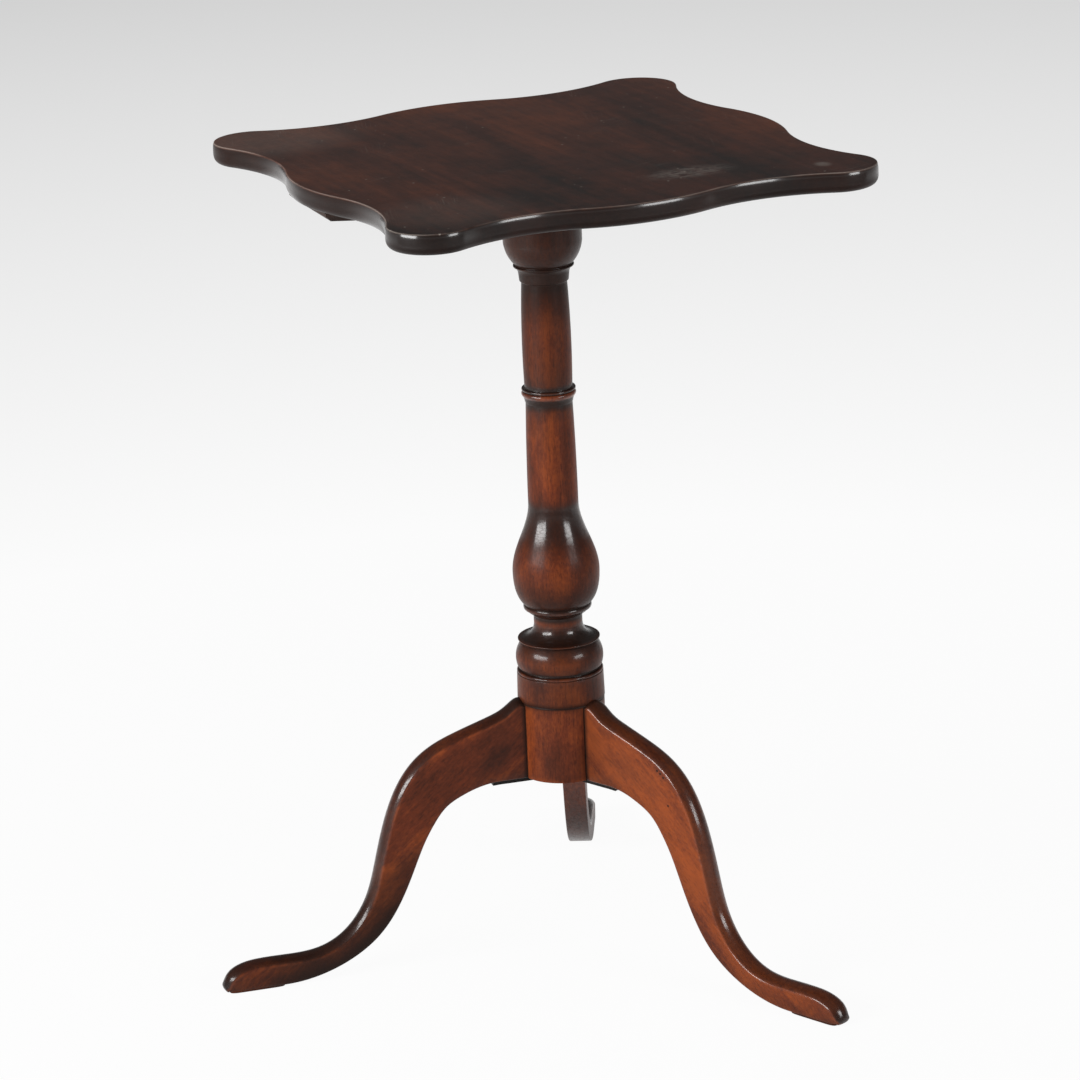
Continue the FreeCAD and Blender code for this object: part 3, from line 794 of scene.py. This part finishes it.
def leg_lines(sizes):
    """Crest and underside from inside the column to the toe: natural splines through the stations, set out by
    the length along the middle of the leg."""
    reach = sizes.leg_reach - HUB_RADIUS
    crest_rise = HUB_TOP - LEG_SETDOWN - FOOT_HEIGHT
    under_rise = HUB_BOTTOM - SOLE_THICKNESS
    stations = LEG_STATIONS * (reach, crest_rise, reach, under_rise) + (
        HUB_RADIUS, FOOT_HEIGHT, HUB_RADIUS, SOLE_THICKNESS)
    root = (HUB_RADIUS - LEG_ROOT, HUB_TOP - LEG_SETDOWN, HUB_RADIUS - LEG_ROOT, HUB_BOTTOM)
    toe = TOE_STATIONS * FOOT_HEIGHT + (sizes.leg_reach, 0.0, sizes.leg_reach, SOLE_THICKNESS)
    tip = (sizes.leg_reach - 0.4 * TOE_ROUNDING, TOE_HEIGHT + 1.0 * MM,
           sizes.leg_reach - TOE_OVERHANG - 0.8 * TOE_ROUNDING, SOLE_THICKNESS)
    stations = np.concatenate([[root], stations, toe, [tip]])
    middle = (stations[:, :2] + stations[:, 2:]) / 2
    knots = lengths(middle)
    ease = np.linspace(0, 1, LEG_SECTIONS)
    places = knots[-1] * (ease + LEG_EASE * np.sin(2 * math.pi * ease) / (2 * math.pi))
    line = spline(knots, stations, places)
    return line[:, :2], line[:, 2:], places / knots[-1]


def leg_section(width, height, dome, round_below, crease):
    """Sections of a leg, one row for each width and height, as points across and up: flat underside with rounded
    corners, flat sides, and an arc over the crest that meets the sides in a crease softened by a short quadratic
    blend."""
    width, height, dome = width[:, None], height[:, None], dome[:, None]

    def run(across, up):
        return np.stack(np.broadcast_arrays(across, up), axis=2)

    corner = np.linspace(-math.pi / 2, 0, 5)
    below = run(width - round_below + round_below * np.cos(corner), round_below + round_below * np.sin(corner))
    edge = height - dome
    side = run(width, round_below + (edge - crease - round_below) * np.linspace(0.12, 0.9, 7))
    radius = (width ** 2 + dome ** 2) / (2 * dome)
    angle = (np.arcsin(np.clip(width / radius, -1, 1)) - crease / radius) * np.linspace(1, 0, 8)
    over = run(radius * np.sin(angle), height - radius + radius * np.cos(angle))
    share = np.linspace(0, 1, 5)[:, None]
    blend = ((1 - share) ** 2 * run(width, edge - crease) + 2 * share * (1 - share) * run(width, edge)
             + share ** 2 * over[:, :1])
    half = np.concatenate([below, side, blend, over[:, 1:]], axis=1)
    return np.concatenate([half, half[:, -2::-1] * (-1, 1)], axis=1)


def nose_share(sizes, places):
    """Share of the leg's width at places along it: whole up to the nose, then a quarter of a superellipse."""
    nose = np.clip(1 - (sizes.leg_reach - places) / NOSE_LENGTH, 0, 1)
    return 1 - NOSE_NARROWING * (1 - (1 - nose ** NOSE_POWER) ** (1 / NOSE_POWER))


def leg_marks(share, tall, height, dome, from_drum):
    """Darkening on the crest, along the underside, on the foot and near the drum, a dark line at its joint, worn
    colour along the crease, varnish on the crest, the underside and the foot, and stain on the ankle. They depend
    on the share of the leg's length, the height in its section and the distance from the drum."""
    above_crease = tall - (height - dome)
    on_crest = np.clip(above_crease / (1.4 * MM), 0, 1)
    polished = np.clip(1 + above_crease / (1.2 * MM), 0, 1)
    below = np.clip(1 - tall / (14 * MM), 0, 1)
    underside = np.clip(1 - tall / (1.5 * MM), 0, 1)
    foot = np.clip((share - 0.93) / 0.07, 0, 1)
    joint = np.exp(-(from_drum / (1.8 * MM)) ** 2)
    near_drum = np.clip(1 - from_drum / (60 * MM), 0, 1)
    ankle = np.interp(share, (0.42, 0.58, 0.82, 0.92), (0.0, 1.0, 1.0, 0.6))
    return {
        "recess": np.clip(on_crest * 0.62 + below * 0.30 + foot * 0.25 + near_drum * 0.28 + joint, 0, 0.95),
        "arris": np.exp(-(above_crease / (1.2 * MM)) ** 2),
        "varnish": np.clip(0.14 + polished * 0.80 + underside * 0.7 + foot * 0.30, 0, 1) * (1 - joint),
        "ankle": ankle * np.interp(tall / height, (0.15, 0.55, 0.95), (1.15, 0.92, 0.85)),
    }


def make_leg(sizes):
    """Leg along +X: sections stood between the underside and the crest and carried from the column to the toe,
    narrowed in plan round the toe's nose, and closed there by a shallow dome, which is the last section shrunk by
    a cosine as it moves on along the crest by a sine. The dome keeps the last section's marks."""
    crest, under, share = leg_lines(sizes)
    rise = crest - under
    height = np.linalg.norm(rise, axis=1)
    up = rise / height[:, None]
    width = sizes.leg_thickness / 2 * nose_share(sizes, crest[:, 0])
    dome = np.minimum(sizes.leg_dome, 0.6 * height)
    section = leg_section(width, height, dome, round_below=1.1 * MM, crease=1.6 * MM)
    across, tall = np.moveaxis(section, 2, 0)
    place = under[:, None] + up[:, None] * tall[..., None]
    rings = np.stack([place[..., 0], across, place[..., 1]], axis=2)
    onward = (crest[-1] - crest[-2]) / np.linalg.norm(crest[-1] - crest[-2])
    out = np.array((onward[0], 0.0, onward[1]))
    turn = NOSE_TURNS[:, None, None]
    middle = rings[-1].mean(axis=0)
    nose = middle + (rings[-1] - middle) * np.cos(turn) + out * TOE_ROUNDING * np.sin(turn)
    from_drum = np.hypot(rings[..., 0], rings[..., 1]) - HUB_RADIUS
    marks = leg_marks(share[:, None], tall, height[:, None], dome[:, None], from_drum)
    return np.concatenate([rings, nose]), {
        key: np.concatenate([rows, np.broadcast_to(rows[-1], (len(nose), rows.shape[1]))])
        for key, rows in marks.items()}


# Levels of the rings of the pad under a foot, and how far each stays in
SOLE_LEVELS = np.array((0.0, 0.4, 1.6, 3.0)) * MM
SOLE_INSETS = np.array((0.5, 0.0, 0.0, 0.4)) * MM
SOLE_POWER = 0.22


def make_sole(sizes):
    """Pad under the foot: rings of a rounded rectangle, a superellipse, at four levels, narrowed with the nose."""
    wave = unit_circle(48)
    wave = np.sign(wave) * np.abs(wave) ** SOLE_POWER
    front = sizes.leg_reach - TOE_OVERHANG - TOE_ROUNDING
    back = sizes.leg_reach - TOE_OVERHANG - 0.5 * MM - SOLE_LENGTH
    half = np.array(((front - back) / 2, sizes.leg_thickness / 2 - 0.5 * MM))
    flat = wave * (half - SOLE_INSETS[:, None])[:, None]
    along = (front + back) / 2 + flat[..., 0]
    across = flat[..., 1] * nose_share(sizes, along + TOE_OVERHANG)
    return at_levels(np.stack([along, across], axis=2), SOLE_LEVELS)


# Outline of the dovetail tongue's lower end, out from the axis and across, and the levels of its rings
TONGUE_OUTLINE = np.array(((42.0, -5.0), (42.0, 5.0), (37.0, 5.0), (19.0, 7.5), (19.0, -7.5), (37.0, -5.0))) * MM
TONGUE_LEVELS = HUB_BOTTOM + np.array((-0.15, 4.0, 40.0)) * MM


def make_tongue():
    """Lower end of the dovetail tongue that shows under the drum: rings of its outline at three levels."""
    return at_levels(np.tile(TONGUE_OUTLINE, (len(TONGUE_LEVELS), 1, 1)), TONGUE_LEVELS)


# Worm holes in the front leg, in metres
WORM_HOLES = (
    (0.0330, -0.1132, 0.1837), (0.0342, -0.1163, 0.1817), (0.0353, -0.1194, 0.1788), (0.0370, -0.1237, 0.1548),
)
# How dark the stain on each leg's ankle is, and the leg's wood
LEG_LOOKS = {
    "leg_left": (0.80, {"patina": 0.55, "lightness": -0.01, "shift": (0.31, 0.0, 0.12)}),
    "leg_front": (0.08, {"patina": 0.36, "lightness": 0.08, "shift": (1.07, 0.4, 0.0), "dents": worm_holes}),
    "leg_back": (0.40, {"patina": 0.70, "lightness": -0.05, "shift": (0.6, 0.9, 0.5)}),
}
LEG_GRAIN = math.radians(-40.0)
# Marks on the poles, the sole and the tongue
PLAIN_MARKS = {"recess": 0.75, "arris": 0.0, "varnish": 0.0, "ankle": 0.0}


class CANDLE_STAND_OT_legs(bpy.types.Operator):
    """Shape the three S-curved legs with their slipper feet"""
    bl_idname = "candle_stand.legs"
    bl_label = "Legs"

    def execute(self, context):
        sizes = context.scene.stand_sizes
        tones = wood_tones(context.scene.stand_colours)
        rings, marks = make_leg(sizes)
        parts = (rings, make_sole(sizes), make_tongue())
        # Every part has two poles after its rings, and all that follows the leg's own rings is plain
        plain = sum(part[..., 0].size + 2 for part in parts) - rings[..., 0].size
        marks = {key: np.append(marks[key].ravel(), np.full(plain, value)) for key, value in PLAIN_MARKS.items()}
        for name, (ankle_stain, look) in LEG_LOOKS.items():
            angle = LEG_ANGLES[name]
            ankle = marks["ankle"] * ankle_stain
            surface = joined(*[tube(turned_about(part, angle)) for part in parts])
            lean = Matrix.Rotation(LEG_GRAIN, 3, "Y") @ Matrix.Rotation(math.radians(-angle), 3, "Z")
            finish = wood(name + "_polish", tones, grain=0, turn=tuple(lean.to_euler()), **look)
            add_piece("s_" + name, name, "leg_wood", surface, finish,
                      recess=1 - (1 - marks["recess"]) * (1 - ankle), arris=marks["arris"],
                      varnish=marks["varnish"] * (1 - ankle * 0.55))
        return {"FINISHED"}


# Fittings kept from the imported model

def iron_finish(colours):
    """Blackened iron: dark scale, rust in its pits, and a hammered surface."""
    material, start, place = new_material("black_iron")
    hammer = place.noise(150.0, detail=3.0)
    pits = place.noise(520.0, detail=3.0, roughness=0.7)
    rust = pits.step(0.52, 0.68) * place.noise(45.0, detail=3.0).step(0.42, 0.62)
    tone = (rust * 0.7).tint(colours.iron, colours.rust)
    finish_material(start, {"Base Color": tone, "Metallic": 0.75 - rust * 0.7,
                            "Roughness": 0.42 + rust * 0.4 + pits * 0.12}, hammer * 0.6 + pits * 0.4, 0.4 * MM)
    return material


def steel_finish(colours):
    """Dull screw steel: grey with dark spots and a turned grain."""
    material, start, place = new_material("screw_steel")
    spots = place.noise(700.0, detail=3.0).step(0.48, 0.66)
    grain = place.noise((2000.0, 400.0, 2000.0), detail=1.0)
    tone = (spots * 0.75).tint(colours.steel, colours.iron)
    finish_material(start, {"Base Color": tone, "Metallic": 1.0 - spots * 0.6,
                            "Roughness": 0.38 + spots * 0.3}, grain, 0.1 * MM)
    return material


def plain_wood(name, tone, dark, grain):
    """Stained wood without polish: saw lines and pores along the grain and dark clouds."""
    material, start, place = new_material(name)
    lines = place.noise(streaks(grain, 190.0, 5.0), detail=4.0, roughness=0.65)
    clouds = place.noise(24.0, detail=3.0)
    light = tuple(min(1.0, 1.9 * part) for part in tone)
    shade = lines.ramp((0.34, dark), (0.50, tone), (0.68, light))
    shade = (clouds.step(0.48, 0.68) * 0.5).tint(shade, dark)
    finish_material(start, {"Base Color": shade, "Roughness": 0.55 + lines * 0.2}, lines, 0.4 * MM)
    return material


class CANDLE_STAND_OT_fittings(bpy.types.Operator):
    """Finish the cleat, its screws and wedge, and the iron plate with its nails"""
    bl_idname = "candle_stand.fittings"
    bl_label = "Cleat and fittings"

    def execute(self, context):
        colours = context.scene.stand_colours
        iron = iron_finish(colours)
        finishes = {
            "cleat": plain_wood("cleat_stain", colours.cleat_wood, colours.top_dark, grain=0),
            "tenon_wedge": plain_wood("wedge_wood", colours.wood_mid, colours.wood_dark, grain=2),
            "cleat_screws": steel_finish(colours),
            "brace_plate": iron,
            "brace_nails": iron,
        }
        for node, finish in finishes.items():
            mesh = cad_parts[node].data
            mesh.materials.clear()
            mesh.materials.append(finish)
        return {"FINISHED"}


# Stage

CAMERA_TURN = math.radians(-25.0)
CAMERA_DISTANCE = 4.0417
CAMERA_HEIGHT = 1.6237
CAMERA_PITCH = math.radians(17.318)
CAMERA_YAW = math.radians(-0.178)
CAMERA_ROLL = math.radians(-2.427)
CAMERA_LENS = 166.667  # this and the sensor's width in millimetres
SENSOR_WIDTH = 36.0
VIEW_END = 100.0
FLOOR_REACH = 30.0
FLOOR_LEVEL = -0.5 * MM
# The floor's tone at a distance from the stand, how much it falls in a metre, and the least
FLOOR_NEAR = 0.5
FLOOR_TONE = 1.0755
FLOOR_FADE = 0.103
FLOOR_FAR_TONE = 0.62
# Softboxes: bearing from the camera's side of the stand in degrees, positive to the right, then distance, height,
# height of the point aimed at, width and height in metres, and power in watts
LAMPS = {
    "softbox_left": (-54.0, 2.3, 1.04, 0.45, 1.60, 0.62, 52.0),
    "softbox_right": (53.0, 2.3, 1.04, 0.45, 0.95, 0.52, 19.0),
}
# Greys of the world: its light, and in polish the low sky and the high one
WORLD_LIGHT = (0.20,) * 3
LOW_SKY = (0.45,) * 3
HIGH_SKY = (0.10,) * 3
BLACK = (0.0,) * 3
WHITE = (1.0,) * 3


def ray_kind(start, kind):
    """1 for rays of a kind and 0 for others."""
    return start.node("ShaderNodeLightPath", output=kind)


def floor_finish(colours):
    """Pale floor that takes light and shadow, and shows as white near the stand and pale grey far off. In
    polished wood it shows bright only behind the stand."""
    material, start, place = new_material("studio_floor")
    reach = place.vector("LENGTH")
    fall = (FLOOR_TONE - (reach - FLOOR_NEAR) * FLOOR_FADE).math("MINIMUM", 1.0).math("MAXIMUM", FLOOR_FAR_TONE)
    depth = place.vector("DOT_PRODUCT", (-math.sin(CAMERA_TURN), math.cos(CAMERA_TURN), 0.0))
    mirrored = ray_kind(start, "Is Glossy Ray") * depth.step(-0.5, 0.1) * 0.85
    lit = start.node("ShaderNodeBsdfDiffuse", {}, {"Color": (*colours.floor, 1.0)})
    shown = start.node("ShaderNodeEmission", {}, {"Color": fall.ramp((0.0, BLACK), (1.0, WHITE)), "Strength": 1.0})
    seen = ray_kind(start, "Is Camera Ray") * 0.95 + mirrored
    mixed = start.node("ShaderNodeMixShader", {}, {0: seen, 1: lit, 2: shown})
    start.node("ShaderNodeOutputMaterial", {}, {"Surface": mixed})
    return material


def studio_world():
    """Even, dim light, which polish shows as a sky that darkens upwards."""
    world = bpy.data.worlds.new("studio")
    world.use_nodes = True
    world.node_tree.nodes.clear()
    start = Field(world.node_tree)
    level = start.node("ShaderNodeTexCoord", output="Generated").axes()[2]
    sky = level.step(0.04, 0.22).ramp((0.0, LOW_SKY), (1.0, HIGH_SKY))
    tone = ray_kind(start, "Is Glossy Ray").tint(WORLD_LIGHT, sky)
    shader = start.node("ShaderNodeBackground", {}, {"Color": tone, "Strength": 1.0})
    start.node("ShaderNodeOutputWorld", {}, {"Surface": shader})
    return world


def add_lamp(name, bearing, distance, height, aimed_at, wide, tall, power):
    """Softbox on a circle about the stand, aimed at a height on its axis."""
    angle = CAMERA_TURN - math.pi / 2 + math.radians(bearing)
    data = bpy.data.lights.new(name, "AREA")
    data.shape = "RECTANGLE"
    data.size = wide
    data.size_y = tall
    data.energy = power
    position = Vector((distance * math.cos(angle), distance * math.sin(angle), height))
    facing = (position - Vector((0.0, 0.0, aimed_at))).to_track_quat("Z", "Y")
    new_object(name, data).matrix_world = Matrix.LocRotScale(position, facing, None)


def camera_matrix():
    """Pose of the camera: rolled, pitched and yawed in place, then turned about the stand."""
    return (Matrix.Rotation(CAMERA_TURN, 4, "Z") @ Matrix.Translation((0.0, -CAMERA_DISTANCE, CAMERA_HEIGHT))
            @ Matrix.Rotation(-CAMERA_YAW, 4, "Z") @ Matrix.Rotation(math.pi / 2 - CAMERA_PITCH, 4, "X")
            @ Matrix.Rotation(CAMERA_ROLL, 4, "Z"))


class CANDLE_STAND_OT_stage(bpy.types.Operator):
    """Set up the floor, the studio light and the camera"""
    bl_idname = "candle_stand.stage"
    bl_label = "Studio stage"

    def execute(self, context):
        scene = context.scene
        mesh = bpy.data.meshes.new("floor")
        corners = ((-1, -1), (1, -1), (1, 1), (-1, 1))
        mesh.from_pydata([(x * FLOOR_REACH, y * FLOOR_REACH, FLOOR_LEVEL) for x, y in corners], [], [(0, 1, 2, 3)])
        mesh.materials.append(floor_finish(scene.stand_colours))
        floor = new_object("floor", mesh)

        scene.world = studio_world()
        for name, lamp in LAMPS.items():
            add_lamp(name, *lamp)

        data = bpy.data.cameras.new("camera")
        data.lens = CAMERA_LENS
        data.sensor_width = SENSOR_WIDTH
        data.sensor_fit = "HORIZONTAL"
        data.clip_end = VIEW_END
        scene.camera = new_object("camera", data)
        scene.camera.matrix_world = camera_matrix()
        scene.view_settings.view_transform = "Standard"
        return {"FINISHED"}


PIECES = (CANDLE_STAND_OT_top_board, CANDLE_STAND_OT_column, CANDLE_STAND_OT_legs, CANDLE_STAND_OT_fittings,
          CANDLE_STAND_OT_stage)


class CANDLE_STAND_PT_panel(bpy.types.Panel):
    """Sizes, colours and pieces of the candle stand"""
    bl_idname = "CANDLE_STAND_PT_panel"
    bl_label = "Candle stand"
    bl_space_type = "VIEW_3D"
    bl_region_type = "UI"
    bl_category = "Candle stand"

    def draw(self, context):
        for group in (context.scene.stand_sizes, context.scene.stand_colours):
            box = self.layout.box()
            for name in group.bl_rna.properties.keys():
                if name not in ("rna_type", "name"):
                    box.prop(group, name)
        for piece in PIECES:
            self.layout.operator(piece.bl_idname)


CLASSES = (StandSizes, StandColours, *PIECES, CANDLE_STAND_PT_panel)


def register():
    for each in CLASSES:
        bpy.utils.register_class(each)
    bpy.types.Scene.stand_sizes = bpy.props.PointerProperty(type=StandSizes)
    bpy.types.Scene.stand_colours = bpy.props.PointerProperty(type=StandColours)


def unregister():
    del bpy.types.Scene.stand_colours
    del bpy.types.Scene.stand_sizes
    for each in reversed(CLASSES):
        bpy.utils.unregister_class(each)


def main():
    register()
    bpy.ops.candle_stand.stage()
    bpy.ops.candle_stand.top_board()
    bpy.ops.candle_stand.column()
    bpy.ops.candle_stand.legs()
    bpy.ops.candle_stand.fittings()


if __name__ == "__main__":
    main()
